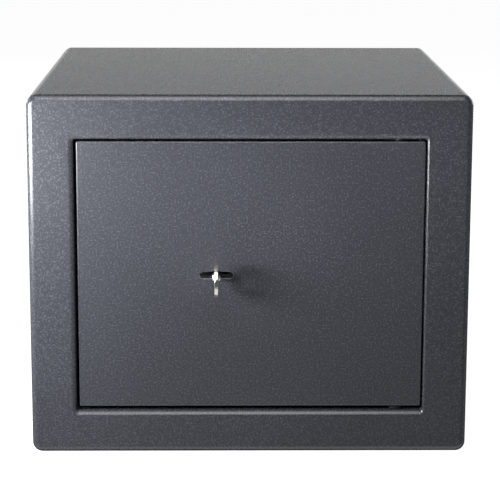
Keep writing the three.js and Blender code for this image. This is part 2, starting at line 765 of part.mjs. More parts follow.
const casing = new THREE.Group();
casing.add(
  piece('front_frame', frontFrame(), powderCoat()),
  piece('casing_wrap', casingWrap(), powderCoat()),
  piece('back_panel', backPanel(), powderCoat()),
  piece('floor_mat', floorMat(), feltMat()),
  piece('shelf', shelf(), innerPaint()),
  piece('shelf_rail_left', shelfRail(-1), innerPaint()),
  piece('shelf_rail_right', shelfRail(1), innerPaint()),
);
const sideNames = [
  [-1, 'left'],
  [1, 'right'],
];
for (const [side, name] of sideNames) {
  const floorPlug = piece(`floor_anchor_plug_${name}`, anchorPlug(), blackPlastic());
  floorPlug.position.set(side * ANCHOR_X, ANCHOR_FLOOR_Y, SHEET);
  floorPlug.rotation.x = Math.PI / 2;
  const backPlug = piece(`back_anchor_plug_${name}`, anchorPlug(), blackPlastic());
  backPlug.position.set(side * ANCHOR_X, BACK - SHEET, ANCHOR_BACK_Z);
  backPlug.rotation.x = Math.PI;
  casing.add(floorPlug, backPlug);
}
const lowerBush = piece('hinge_bush_lower', hingeBush(), brass());
lowerBush.position.set(HINGE_X, HINGE_Y, OPENING_BOTTOM - SHEET);
lowerBush.rotation.x = Math.PI;
const washerAt = [HINGE_X, HINGE_Y, OPENING_BOTTOM];
casing.add(
  piece('hinge_bush_upper', hingeBush(), brass(), [HINGE_X, HINGE_Y, OPENING_TOP + SHEET]),
  lowerBush,
  piece('hinge_thrust_washer', thrustWasher(), zincSteel(), washerAt),
);

const door = new THREE.Group();
const blockY = DOOR_REAR + GAP;
const lowerPin = piece('hinge_pin_lower', hingePin(), brightSteel());
lowerPin.position.set(HINGE_X, HINGE_Y, DOOR_BOTTOM + PIN_IN_DOOR);
lowerPin.rotation.x = Math.PI;
door.add(
  piece('door_plate', doorPlate(), powderCoat()),
  piece('hinge_block_lower', hingeBlock(), innerPaint(), [HINGE_X, blockY, DOOR_BOTTOM + 0.6]),
  piece('hinge_block_upper', hingeBlock(), innerPaint(), [
    HINGE_X,
    blockY,
    DOOR_TOP - 0.6 - HINGE_BLOCK[2],
  ]),
  piece('hinge_pin_upper', hingePin(), brightSteel(), [HINGE_X, HINGE_Y, UPPER_PIN_Z]),
  lowerPin,
  piece('hinge_side_dog_bar', dogBar(), innerPaint()),
  piece('bolt_guide_rail', boltGuideRail(), innerPaint()),
  piece('lock_hardplate', hardplate(), hardSteel()),
  piece('lock_case', lockCase(), zincSteel()),
  piece('lock_case_lid', lockLid(), zincSteel()),
  piece('lever_spring_comb', leverSpring(), springSteel()),
  piece('bolt_work_cover', boltCover(), innerPaint()),
);
const lockScrewLength = LID_REAR - DOOR_REAR + BLIND - 0.6;
lockScrews.forEach(([x, z], i) =>
  door.add(piece(`lock_screw_${i + 1}`, panScrew(lockScrewLength), zincSteel(), [x, LID_REAR, z])),
);
const coverFace = DOOR_REAR + GAP + COVER_SHEET;
const coverScrewLength = coverFace - DOOR_REAR + BLIND - 0.6;
coverScrews.forEach(([x, z], i) =>
  door.add(piece(`cover_screw_${i + 1}`, panScrew(coverScrewLength), zincSteel(), [x, coverFace, z])),
);
const heightNames = [
  [-1, 'lower'],
  [1, 'upper'],
];
const carriage = new THREE.Group();
carriage.add(piece('bolt_carriage', boltCarriage(), zincSteel()));
for (const [side, name] of heightNames) {
  door.add(
    piece(`carriage_guide_stud_${name}`, guideStud(), brightSteel(), [
      STUD_X,
      0,
      KEY_Z + side * STUD_SPREAD,
    ]),
  );
  carriage.add(
    piece(`locking_bolt_${name}`, lockingBolt(), brightSteel(), [
      BOLT_TIP,
      BOLT_Y,
      KEY_Z + side * BOLT_SPREAD,
    ]),
  );
}

const levers = new THREE.Group();
for (let i = 0; i < LEVERS; i++) levers.add(piece(`lever_${i + 1}`, lever(i), brass()));

door.add(
  carriage,
  levers,
  piece('key_rotor', keyRotor(), brass(), [KEY_X, 0, KEY_Z]),
  piece('key', key(), nickel(), [KEY_X, KEY_TIP, KEY_Z]),
);

const safe = new THREE.Group();
safe.add(casing, door);
export default safe;
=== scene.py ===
import json
import math

import bmesh
import bpy
from mathutils import Matrix, Vector

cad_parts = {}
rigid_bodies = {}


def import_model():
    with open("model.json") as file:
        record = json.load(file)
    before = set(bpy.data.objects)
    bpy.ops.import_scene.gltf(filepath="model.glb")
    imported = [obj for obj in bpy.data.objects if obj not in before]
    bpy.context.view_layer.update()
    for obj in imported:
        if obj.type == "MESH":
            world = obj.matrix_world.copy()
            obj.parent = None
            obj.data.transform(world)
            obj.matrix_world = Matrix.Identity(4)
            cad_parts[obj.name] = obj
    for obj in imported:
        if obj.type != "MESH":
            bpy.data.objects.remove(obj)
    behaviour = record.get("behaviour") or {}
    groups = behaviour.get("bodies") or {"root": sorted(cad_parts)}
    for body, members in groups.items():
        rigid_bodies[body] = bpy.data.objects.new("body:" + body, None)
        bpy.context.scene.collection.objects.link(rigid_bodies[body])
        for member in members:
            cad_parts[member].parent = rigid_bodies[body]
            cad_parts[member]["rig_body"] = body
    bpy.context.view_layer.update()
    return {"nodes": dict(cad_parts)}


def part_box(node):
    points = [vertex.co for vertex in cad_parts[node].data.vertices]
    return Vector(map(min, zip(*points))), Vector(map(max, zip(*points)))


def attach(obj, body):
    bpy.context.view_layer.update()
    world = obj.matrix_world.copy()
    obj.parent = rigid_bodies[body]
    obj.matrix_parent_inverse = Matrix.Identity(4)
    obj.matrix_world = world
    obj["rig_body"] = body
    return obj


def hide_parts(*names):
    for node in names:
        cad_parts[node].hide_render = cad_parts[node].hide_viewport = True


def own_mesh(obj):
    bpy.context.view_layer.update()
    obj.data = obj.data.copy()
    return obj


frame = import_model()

MM = 0.001
NODES = frame["nodes"]


def span(*nodes):
    """Lowest and highest corner of several CAD nodes, in millimetres."""
    boxes = [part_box(n) for n in nodes]
    low = Vector([min(b[0][i] for b in boxes) / MM for i in range(3)])
    high = Vector([max(b[1][i] for b in boxes) / MM for i in range(3)])
    return low, high


# ------------------------------------------------------------------ camera

cam_data = bpy.data.cameras.new("camera")
cam_data.sensor_width = 36
cam_data.lens = 137.66
cam_data.clip_start, cam_data.clip_end = 0.05, 40
cam = bpy.data.objects.new("camera", cam_data)
bpy.context.scene.collection.objects.link(cam)
cam.location = (-0.0226, -1.6665, 0.4755)
pitch, yaw, roll = math.radians(-11.76), math.radians(-0.88), math.radians(0.17)
cam.rotation_mode = "QUATERNION"
cam.rotation_quaternion = (
    Matrix.Rotation(yaw, 3, "Z")
    @ Matrix.Rotation(math.pi / 2 + pitch, 3, "X")
    @ Matrix.Rotation(roll, 3, "Z")
).to_quaternion()
bpy.context.scene.camera = cam
bpy.context.scene.view_settings.view_transform = "Standard"


# ------------------------------------------------------------------ node materials

class Graph:
    """A Principled material and short ways to wire up its textures."""

    def __init__(self, name, **constants):
        self.mat = bpy.data.materials.new(name)
        self.mat.use_nodes = True
        self.tree = self.mat.node_tree
        self.shader = self.tree.nodes["Principled BSDF"]
        for key, value in constants.items():
            self.shader.inputs[key.replace("_", " ")].default_value = value
        self.place = self.add("ShaderNodeTexCoord").outputs["Object"]

    def add(self, kind, **settings):
        node = self.tree.nodes.new(kind)
        for key, value in settings.items():
            setattr(node, key, value)
        return node

    def link(self, a, b):
        self.tree.links.new(a, b)

    def stretched(self, scale):
        node = self.add("ShaderNodeMapping")
        node.inputs["Scale"].default_value = scale
        self.link(self.place, node.inputs["Vector"])
        return node.outputs["Vector"]

    def noise(self, scale, detail=2.0, rough=0.5, where=None):
        node = self.add("ShaderNodeTexNoise")
        node.inputs["Scale"].default_value = scale
        node.inputs["Detail"].default_value = detail
        node.inputs["Roughness"].default_value = rough
        self.link(where or self.place, node.inputs["Vector"])
        return node.outputs["Fac"]

    def cells(self, scale, output="Color", where=None):
        node = self.add("ShaderNodeTexVoronoi")
        node.inputs["Scale"].default_value = scale
        self.link(where or self.place, node.inputs["Vector"])
        return node.outputs[output]

    def remap(self, value, low, high, to_low=0.0, to_high=1.0):
        node = self.add("ShaderNodeMapRange")
        for i, v in enumerate((low, high, to_low, to_high), 1):
            node.inputs[i].default_value = v
        self.link(value, node.inputs["Value"])
        return node.outputs["Result"]

    def math(self, how, a, b):
        node = self.add("ShaderNodeMath", operation=how)
        for i, v in enumerate((a, b)):
            if isinstance(v, (int, float)):
                node.inputs[i].default_value = v
            else:
                self.link(v, node.inputs[i])
        return node.outputs[0]

    def mix(self, factor, a, b, how="MIX"):
        node = self.add("ShaderNodeMix", data_type="RGBA", blend_type=how)
        for socket, v in ((node.inputs[0], factor), (node.inputs[6], a), (node.inputs[7], b)):
            if isinstance(v, (int, float)):
                socket.default_value = v
            elif isinstance(v, tuple):
                socket.default_value = (*v, 1.0)
            else:
                self.link(v, socket)
        return node.outputs[2]

    def grey(self, value):
        node = self.add("ShaderNodeCombineColor")
        for i in range(3):
            self.link(value, node.inputs[i])
        return node.outputs["Color"]

    def bump(self, height, distance, strength=1.0, after=None):
        node = self.add("ShaderNodeBump")
        node.inputs["Strength"].default_value = strength
        node.inputs["Distance"].default_value = distance
        self.link(height, node.inputs["Height"])
        if after is not None:
            self.link(after, node.inputs["Normal"])
        return node.outputs["Normal"]

    def color(self, socket):
        self.link(socket, self.shader.inputs["Base Color"])

    def rough(self, socket):
        self.link(socket, self.shader.inputs["Roughness"])

    def normal(self, socket):
        self.link(socket, self.shader.inputs["Normal"])


def powder_coat(name, base, flake, rough):
    """Fine-textured powder coat: a sandy skin with bright and dark flakes in it."""
    g = Graph(name, Metallic=0.12, Specular_IOR_Level=0.72)
    grain = g.noise(720, 3, 0.6)
    fine = g.noise(2300, 2, 0.5)
    clouds = g.noise(9, 2)
    flakes = g.cells(2100)
    spark = g.add("ShaderNodeSeparateColor")
    g.link(flakes, spark.inputs[0])
    tone = g.mix(g.remap(grain, 0.34, 0.66), tuple(c * 0.60 for c in base), tuple(c * 1.42 for c in base))
    tone = g.mix(g.remap(spark.outputs[0], 0.86, 0.98, 0, 0.35), tone, flake)
    tone = g.mix(g.remap(spark.outputs[1], 0.84, 0.97, 0, 0.5), tone, tuple(c * 0.4 for c in base))
    tone = g.mix(1.0, tone, g.grey(g.remap(clouds, 0.3, 0.7, 0.94, 1.06)), "MULTIPLY")
    g.color(tone)
    g.rough(g.remap(grain, 0.3, 0.7, rough - 0.04, rough + 0.05))
    g.normal(g.bump(fine, 0.00002, 0.6, g.bump(grain, 0.00007, 0.7)))
    return g.mat


def plated(name, base, rough, spangle=90.0, scratch=0.10):
    """Zinc or nickel plate: faint clouds, and fine handling scratches."""
    g = Graph(name, Metallic=1.0)
    clouds = g.noise(spangle, 3, 0.6)
    hair = g.noise(1, 2, 0.5, g.stretched((260, 2600, 2600)))
    tone = g.mix(g.remap(clouds, 0.3, 0.7), tuple(c * 0.86 for c in base), base)
    g.color(tone)
    cloudy = g.remap(clouds, 0.3, 0.7, rough - 0.04, rough + 0.05)
    g.rough(g.math("ADD", cloudy, g.remap(hair, 0.45, 0.7, 0, scratch)))
    g.normal(g.bump(hair, 0.00001, 0.5, g.bump(clouds, 0.00003, 0.4)))
    return g.mat


def turned_metal(name, base, rough, axis):
    """Metal from the lathe: fine rings square to its axis."""
    g = Graph(name, Metallic=1.0)
    scale = [30, 30, 30]
    scale["xyz".index(axis)] = 2600
    rings = g.noise(1, 3, 0.6, g.stretched(tuple(scale)))
    clouds = g.noise(120, 2)
    g.color(g.mix(g.remap(rings, 0.3, 0.7), tuple(c * 0.84 for c in base), base))
    cloudy = g.remap(clouds, 0.3, 0.7, rough - 0.03, rough + 0.05)
    g.rough(g.math("ADD", cloudy, g.remap(rings, 0.3, 0.7, -0.03, 0.05)))
    g.normal(g.bump(rings, 0.00002, 0.6))
    return g.mat


def moulded(name, base):
    """Spark-eroded black plastic."""
    g = Graph(name)
    grain = g.noise(1500, 3, 0.6)
    g.color(g.mix(g.remap(grain, 0.3, 0.7), tuple(c * 0.8 for c in base), tuple(c * 1.25 for c in base)))
    g.rough(g.remap(grain, 0.3, 0.7, 0.42, 0.58))
    g.normal(g.bump(grain, 0.00005, 0.6))
    return g.mat


def felt(name, base):
    """Needle felt: matted fibres over a soft, uneven ground."""
    g = Graph(name, Roughness=0.95, Sheen_Weight=0.35, Sheen_Roughness=0.5)
    long_way = g.noise(1, 4, 0.7, g.stretched((420, 2400, 900)))
    cross = g.noise(1, 4, 0.7, g.stretched((2400, 420, 900)))
    tufts = g.noise(330, 4, 0.65)
    fibres = g.math("MAXIMUM", long_way, cross)
    g.color(g.mix(g.remap(fibres, 0.45, 0.72), tuple(c * 0.6 for c in base), tuple(c * 1.7 for c in base)))
    g.normal(g.bump(fibres, 0.0004, 0.7, g.bump(tufts, 0.0009, 0.6)))
    return g.mat


COAT = powder_coat("powder_coat", (0.044, 0.047, 0.056), (0.095, 0.10, 0.118), 0.25)
INNER = powder_coat("inner_paint", (0.044, 0.047, 0.054), (0.11, 0.115, 0.13), 0.38)
ZINC = plated("zinc_steel", (0.62, 0.64, 0.66), 0.32)
NICKEL = plated("nickel", (0.80, 0.77, 0.71), 0.2, 140.0, 0.12)
HARD = plated("hard_steel", (0.10, 0.105, 0.115), 0.42)
SPRING = plated("spring_steel", (0.28, 0.31, 0.37), 0.28)
BOLT = turned_metal("bolt_steel", (0.66, 0.66, 0.66), 0.24, "x")
STUD = turned_metal("stud_steel", (0.62, 0.62, 0.62), 0.26, "y")
BUSH = turned_metal("bush_brass", (0.70, 0.52, 0.25), 0.3, "z")
PHOSPHATE = plated("phosphated_steel", (0.035, 0.036, 0.038), 0.5, 300.0)
BRASS = plated("lock_brass", (0.68, 0.51, 0.25), 0.3, 60.0)
PLUG = moulded("plug_plastic", (0.022, 0.022, 0.024))
FELT = felt("felt", (0.035, 0.036, 0.041))


# ------------------------------------------------------------------ mesh helpers

def finished(obj, material, body, nodes, angle=32.0):
    """Shades a piece, gives it its material, and seats it on its body in place of its CAD nodes."""
    mesh = obj.data
    mesh.materials.clear()
    mesh.materials.append(material)
    for p in mesh.polygons:
        p.use_smooth = True
    mesh.set_sharp_from_angle(angle=math.radians(angle))
    weighted = obj.modifiers.new("weighted", "WEIGHTED_NORMAL")
    weighted.keep_sharp = True
    weighted.weight = 100
    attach(obj, body)
    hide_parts(*nodes)
    return obj


def new_object(name, bm):
    mesh = bpy.data.meshes.new(name)
    bmesh.ops.recalc_face_normals(bm, faces=bm.faces)
    bm.to_mesh(mesh)
    bm.free()
    obj = bpy.data.objects.new(name, mesh)
    bpy.context.scene.collection.objects.link(obj)
    return obj


def baked(obj):
    """Applies an object's modifiers."""
    depsgraph = bpy.context.evaluated_depsgraph_get()
    mesh = bpy.data.meshes.new_from_object(obj.evaluated_get(depsgraph))
    obj.modifiers.clear()
    obj.data = mesh
    return obj


def joined(obj, others, operation="DIFFERENCE"):
    """Cuts the others out of obj, or adds them to it, and removes them."""
    for other in others:
        step = obj.modifiers.new("bool", "BOOLEAN")
        step.operation = operation
        step.solver = "EXACT"
        step.object = other
    baked(obj)
    for other in others:
        bpy.data.objects.remove(other)
    return obj


def round_rect(x0, x1, z0, z1, r, steps=8):
    """A rectangle's outline with round corners, anticlockwise, in millimetres."""
    points = []
    corners = ((x1 - r, z0 + r, -90), (x1 - r, z1 - r, 0), (x0 + r, z1 - r, 90), (x0 + r, z0 + r, 180))
    for cx, cz, start in corners:
        for i in range(steps + 1):
            a = math.radians(start + 90 * i / steps)
            points.append((cx + r * math.cos(a), cz + r * math.sin(a)))
    return points


def rectangle(x0, x1, z0, z1):
    return [(x0, z0), (x1, z0), (x1, z1), (x0, z1)]


def circle(cx, cz, r, steps=48):
    turns = [2 * math.pi * i / steps for i in range(steps)]
    return [(cx + r * math.cos(t), cz + r * math.sin(t)) for t in turns]


def lofted(name, rings, closed=True):
    """Skins a list of equal rings of points, in millimetres; closed joins the last ring to the first."""
    bm = bmesh.new()
    rows = [[bm.verts.new(Vector(p) * MM) for p in ring] for ring in rings]
    pairs = list(zip(rows, rows[1:])) + ([(rows[-1], rows[0])] if closed else [])
    for a, b in pairs:
        for i in range(len(a)):
            j = (i + 1) % len(a)
            bm.faces.new((a[i], a[j], b[j], b[i]))
    if not closed:
        bm.faces.new(rows[0])
        bm.faces.new(list(reversed(rows[-1])))
    return new_object(name, bm)


AXES = {
    "x": lambda u, v, w: (w, u, v),
    "y": lambda u, v, w: (u, w, v),
    "z": lambda u, v, w: (u, v, w),
}


def plate(name, outline, holes, low, high, edge, axis="y", steps=3):
    """A flat outline with holes, made solid from low to high along an axis, all its edges rounded."""
    curve = bpy.data.curves.new(name, "CURVE")
    curve.dimensions = "2D"
    curve.fill_mode = "BOTH"
    for points, want in [(outline, 1)] + [(h, -1) for h in holes]:
        area = sum(a[0] * b[1] - b[0] * a[1] for a, b in zip(points, points[1:] + points[:1]))
        if area * want < 0:
            points = list(reversed(points))
        spline = curve.splines.new("POLY")
        spline.points.add(len(points) - 1)
        for p, (u, v) in zip(spline.points, points):
            p.co = (u * MM, v * MM, 0, 1)
        spline.use_cyclic_u = True
    curve.extrude = ((high - low) / 2 - edge) * MM
    curve.bevel_depth = edge * MM
    curve.bevel_resolution = steps
    curve.offset = -edge * MM
    source = bpy.data.objects.new(name, curve)
    bpy.context.scene.collection.objects.link(source)
    depsgraph = bpy.context.evaluated_depsgraph_get()
    mesh = bpy.data.meshes.new_from_object(source.evaluated_get(depsgraph))
    bpy.data.objects.remove(source)
    bm = bmesh.new()
    bm.from_mesh(mesh)
    bmesh.ops.remove_doubles(bm, verts=bm.verts, dist=0.2e-6)
    middle = (low + high) / 2 * MM
    for vert in bm.verts:
        vert.co = Vector(AXES[axis](vert.co.x, vert.co.y, vert.co.z + middle))
    return new_object(name, bm)


def turned(name, profile, axis, at, steps=64, flip=False):
    """A lathe profile of (radius, height) points round an axis through a point, in millimetres."""
    rings = []
    for r, h in profile:
        h = -h if flip else h
        r = max(r, 0.001)
        rings.append([Vector(AXES[axis](u, v, h)) + Vector(at) for u, v in circle(0, 0, r, steps)])
    return lofted(name, rings, closed=False)


def rod(axis, r, low, high, at, steps=64):
    return turned("cutter", [(r, low), (r, high)], axis, at, steps)


def arc(cx, cy, r, start, end, steps):
    """Points of an arc from start to end degrees."""
    turns = [math.radians(start + (end - start) * i / steps) for i in range(steps + 1)]
    return [(cx + r * math.cos(t), cy + r * math.sin(t)) for t in turns]


def refined(name, node, material, edge=0.35, steps=2, angle=32.0):
    """The CAD solid with its flat faces merged and its edges broken by a small radius."""
    body = NODES[node]["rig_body"]
    bm = bmesh.new()
    bm.from_mesh(NODES[node].data)
    bmesh.ops.remove_doubles(bm, verts=bm.verts, dist=1e-6)
    flat = math.radians(1.0)
    bmesh.ops.dissolve_limit(bm, angle_limit=flat, verts=bm.verts, edges=bm.edges, delimit={"NORMAL"})
    obj = new_object(name, bm)
    bevel = obj.modifiers.new("bevel", "BEVEL")
    bevel.width = edge * MM
    bevel.segments = steps
    bevel.limit_method = "ANGLE"
    bevel.angle_limit = math.radians(40)
    bevel.use_clamp_overlap = True
    baked(obj)
    return finished(obj, material, body, [node], angle)


# ------------------------------------------------------------------ casing

case_low, case_high = span("front_frame", "casing_wrap")
FRONT, BACK = case_low.y, case_high.y
HALF, HEIGHT = case_high.x, case_high.z
FLANGE_END = span("front_frame")[1].y
SHEET, CORNER, BEND = 3.0, 8.0, 5.0
LIP, HINGE_LIP = 4.5, 2.0
OPENING = (-138.7, 139.5, 34.5, 255.0)
OPENING_CORNER = 2.0


def outer_ring(inset, y):
    """The casing's outline, drawn in by an inset."""
    outline = round_rect(inset - HALF, HALF - inset, inset, HEIGHT - inset, CORNER - inset, 10)
    return [(x, y, z) for x, z in outline]


def opening_ring(grow, y):
    """The door opening's outline, let out all round."""
    x0, x1, z0, z1 = OPENING
    outline = round_rect(x0 - grow, x1 + grow, z0 - grow, z1 + grow, OPENING_CORNER + grow, 10)
    return [(x, y, z) for x, z in outline]


def lip_ring(turn):
    """The opening's outline part of the way round its rolled edge, which is tighter on the hinge side."""
    flare, depth = 1 - math.sin(turn), 1 - math.cos(turn)
    inner, outer = opening_ring(0, FRONT), opening_ring(1, FRONT)
    ring = []
    for (x0, _, z0), (x1, _, z1) in zip(inner, outer):
        radius = LIP + (HINGE_LIP - LIP) * max(0.0, x1 - x0) ** 2
        out = radius * flare
        ring.append((x0 + (x1 - x0) * out, FRONT + radius * depth, z0 + (z1 - z0) * out))
    return ring


rings = [outer_ring(0.5, BACK), outer_ring(0.15, BACK - 0.15), outer_ring(0, BACK - 0.5)]
rings += [outer_ring(BEND - r, FRONT + BEND - h) for r, h in arc(0, 0, BEND, 0, 90, 10)]
rings += [lip_ring(math.radians(90 * i / 10)) for i in range(11)]
rings += [opening_ring(0, FLANGE_END - 0.5), opening_ring(0.15, FLANGE_END - 0.15)]
rings += [opening_ring(0.5, FLANGE_END), opening_ring(SHEET - 0.5, FLANGE_END)]
rings += [opening_ring(SHEET - 0.15, FLANGE_END - 0.15), opening_ring(SHEET, FLANGE_END - 0.5)]
INNER_BEND = ((0, 1.0), (0.3, 0.3), (1.0, 0))
rings += [opening_ring(SHEET + grow, FRONT + SHEET + back) for grow, back in INNER_BEND]
rings += [outer_ring(SHEET + grow, FRONT + SHEET + back) for grow, back in reversed(INNER_BEND)]
rings += [outer_ring(SHEET, BACK - 0.5), outer_ring(SHEET - 0.15, BACK - 0.15)]
rings += [outer_ring(SHEET - 0.5, BACK)]
shell = lofted("casing_shell", rings)

bush_low, bush_high = span("hinge_bush_lower", "hinge_bush_upper")
HINGE_X, HINGE_Y = (bush_low.x + bush_high.x) / 2, (bush_low.y + bush_high.y) / 2
anchors = {}
cutters = [rod("z", 5.6, OPENING[2] - 5, OPENING[3] + 5, (HINGE_X, HINGE_Y, 0))]
for name in ("floor_anchor_plug_left", "floor_anchor_plug_right"):
    low, high = span(name)
    anchors[name] = ((low.x + high.x) / 2, (low.y + high.y) / 2)
    cutters.append(rod("z", 6.0, -2, SHEET + 2, (*anchors[name], 0)))
joined(shell, cutters)
finished(shell, COAT, "casing", ["front_frame", "casing_wrap"])

low, high = span("back_panel")
back_holes = []
for name in ("back_anchor_plug_left", "back_anchor_plug_right"):
    a, b = span(name)
    anchors[name] = ((a.x + b.x) / 2, (a.z + b.z) / 2)
    back_holes.append(circle(*anchors[name], 6.0))
back_outline = round_rect(low.x, high.x, low.z, high.z, CORNER - SHEET, 10)
back = plate("back_panel_plate", back_outline, back_holes, low.y, high.y, 0.4)
finished(back, COAT, "casing", ["back_panel"])


# ------------------------------------------------------------------ door

low, high = span("door_plate")
key_low, key_high = span("key")
KEY_X, KEY_Z = (key_low.x + key_high.x) / 2, (key_low.z + key_high.z) / 2
SLOT, SLOT_R, EYE_R = 13.1, 2.5, 4.0


def keyhole(slot=SLOT, slot_r=SLOT_R, eye=EYE_R, blend=1.1):
    """A horizontal slot with round ends and a round eye, the corners between them softened."""
    rise = math.degrees(math.asin(slot_r / eye))
    soft = math.degrees(blend / eye)
    points = arc(slot - slot_r, 0, slot_r, -90, 90, 12)
    x = eye * math.cos(math.radians(rise))
    points += [(x + blend, slot_r), (x + 0.35 * blend, slot_r + 0.12)]
    points += arc(0, 0, eye, rise + soft, 180 - rise - soft, 12)
    points += [(-x - 0.35 * blend, slot_r + 0.12), (-x - blend, slot_r)]
    points += arc(slot_r - slot, 0, slot_r, 90, 270, 12)
    points += [(-x - blend, -slot_r), (-x - 0.35 * blend, -slot_r - 0.12)]
    points += arc(0, 0, eye, 180 + rise + soft, 360 - rise - soft, 12)
    points += [(x + 0.35 * blend, -slot_r - 0.12), (x + blend, -slot_r)]
    return [(KEY_X + px, KEY_Z + pz) for px, pz in points]


door_outline = round_rect(low.x, high.x, low.z, high.z, 1.6, 6)
door = plate("door_panel", door_outline, [keyhole()], low.y, high.y, 0.9, steps=4)
grooves = []
for name in ("hinge_pin_lower", "hinge_pin_upper"):
    a, b = span(name)
    ends = (low.z - 2, b.z + 0.6) if name.endswith("lower") else (a.z - 0.6, high.z + 2)
    grooves.append(rod("z", 4.35, *ends, (HINGE_X, HINGE_Y, 0)))
joined(door, grooves)
finished(door, COAT, "door", ["door_plate"])


# ------------------------------------------------------------------ hinge

def bush(name, flip):
    """A flanged bush: a collar in the flange's hole and a head behind it."""
    low, high = span(name)
    seat = high.z - 3.0 if not flip else low.z + 3.0
    top = high.z - seat if not flip else seat - low.z
    collar = high.z - low.z - top
    inner = [(4.35 + r, h) for r, h in ((0.3, top), (0, top - 0.3), (0, 0.3 - collar), (0.3, -collar))]
    outer = [(5.1, -collar), (5.3, 0.2 - collar), (5.3, 0.1), (6.2, 0.1)]
    outer += arc(6.1, 0.6, 0.5, -80, 0, 4) + arc(5.9, top - 0.7, 0.7, 0, 90, 5)
    profile = list(reversed(inner)) + list(reversed(outer))
    return ring_of(name + "_turned", profile, (HINGE_X, HINGE_Y, seat), flip)


def ring_of(name, profile, at, flip=False, steps=64):
    """A lathe profile that closes on itself round the Z axis."""
    sign = -1 if flip else 1
    rings = []
    for r, h in profile:
        rings.append([Vector((r * math.cos(t), r * math.sin(t), sign * h)) + Vector(at)
                      for t in (2 * math.pi * i / steps for i in range(steps))])
    return lofted(name, rings)


for name in ("hinge_bush_lower", "hinge_bush_upper"):
    finished(bush(name, name.endswith("lower")), BUSH, "casing", [name])

low, high = span("hinge_thrust_washer")
wide = (high.x - low.x) / 2
profile = [(4.65, low.z), (wide - 0.3, low.z), (wide, low.z + 0.3), (wide, high.z - 0.3)]
profile += [(wide - 0.3, high.z), (4.65, high.z), (4.35, high.z - 0.3), (4.35, low.z + 0.3)]
washer = ring_of("hinge_thrust_washer_turned", profile, (HINGE_X, HINGE_Y, 0))
finished(washer, PHOSPHATE, "casing", ["hinge_thrust_washer"])

for name in ("hinge_pin_lower", "hinge_pin_upper"):
    low, high = span(name)
    flip = name.endswith("lower")
    long = high.z - low.z
    profile = [(0, 0), (3.4, 0)] + arc(3.5, 0.5, 0.5, -60, 0, 3) + [(4, long - 1.7)]
    profile += arc(3.6, long - 1.6, 0.4, 0, 45, 3) + arc(2.2, long - 0.4, 0.4, 45, 90, 3) + [(0, long)]
    pin = turned(name + "_turned", profile, "z", (HINGE_X, HINGE_Y, high.z if flip else low.z), flip=flip)
    finished(pin, PHOSPHATE, "door", [name])

for name in ("hinge_block_lower", "hinge_block_upper"):
    refined(name + "_block", name, INNER, 0.6, 3)


# ------------------------------------------------------------------ pressed and cut steel parts

for name, material, slot, edge, steps in (
    ("hinge_side_dog_bar", INNER, "inner_paint", 0.7, 3),
    ("bolt_guide_rail", INNER, "inner_paint", 0.5, 3),
    ("bolt_work_cover", INNER, "inner_paint", 0.6, 3),
    ("shelf", INNER, "inner_paint", 0.6, 3),
    ("shelf_rail_left", INNER, "inner_paint", 0.4, 2),
    ("shelf_rail_right", INNER, "inner_paint", 0.4, 2),
    ("lock_hardplate", HARD, "hard_steel", 0.4, 2),
    ("lock_case", ZINC, "zinc_steel", 0.5, 3),
    ("lock_case_lid", ZINC, "zinc_steel", 0.3, 2),
    ("bolt_carriage", ZINC, "zinc_steel", 0.3, 2),
    ("key_rotor", BRASS, "brass", 0.25, 2),
    ("carriage_guide_stud_lower", STUD, "bright_steel", 0.4, 2),
    ("carriage_guide_stud_upper", STUD, "bright_steel", 0.4, 2),
    ("locking_bolt_lower", BOLT, "bright_steel", 0.8, 3),
    ("locking_bolt_upper", BOLT, "bright_steel", 0.8, 3),
    ("lever_spring_comb", SPRING, "spring_steel", 0.05, 1),
    *((f"lever_{i}", BRASS, "brass", 0.15, 1) for i in range(1, 7)),
):
    refined(name + "_part", name, material, edge, steps)

# The lifting levers push the leaf springs up towards the strip they hang from. Here the comb's part only
# gets a mesh of its own, and its springs stay as modelled.
low, high = span("lever_spring_comb")
comb = bpy.data.objects["lever_spring_comb_part"]
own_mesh(comb)


# ------------------------------------------------------------------ screws and plugs

def pan_screw(node, body):
    """A pan-head screw along Y with a cross recess, its head behind its seat."""
    low, high = span(node)
    x, z = (low.x + high.x) / 2, (low.z + high.z) / 2
    head = (high.x - low.x) / 2
    seat = high.y - 2.7
    shank = [(0, low.y - seat), (1.5, low.y - seat), (2.0, low.y - seat + 0.6)]
    thread = low.y - seat + 0.9
    while thread < -0.6:
        shank += [(1.7, thread), (2.0, thread + 0.3)]
        thread += 0.6
    dome = arc(0, 2.7 - 6.2, 6.2, 24, 90, 8)
    profile = shank + [(2.0, 0.12), (head - 0.1, 0.12), (head, 0.3), (head, 1.0)]
    profile += arc(head - 0.9, 1.0, 0.9, 0, 50, 4) + [p for p in dome if p[0] < head - 0.9]
    screw = turned(node + "_turned", profile, "y", (x, seat, z), 40)
    recess = []
    for turn in (0, 90):
        groove = plate("recess", rectangle(-2.3, 2.3, -0.5, 0.5), [], 1.3, 4.0, 0.05, "y", 1)
        groove.data.transform(Matrix.Rotation(math.radians(turn), 4, "Y"))
        groove.data.transform(Matrix.Translation(Vector((x, seat, z)) * MM))
        recess.append(groove)
    joined(screw, recess)
    return finished(screw, ZINC, body, [node])


for i in range(1, 5):
    pan_screw(f"lock_screw_{i}", "door")
    pan_screw(f"cover_screw_{i}", "door")

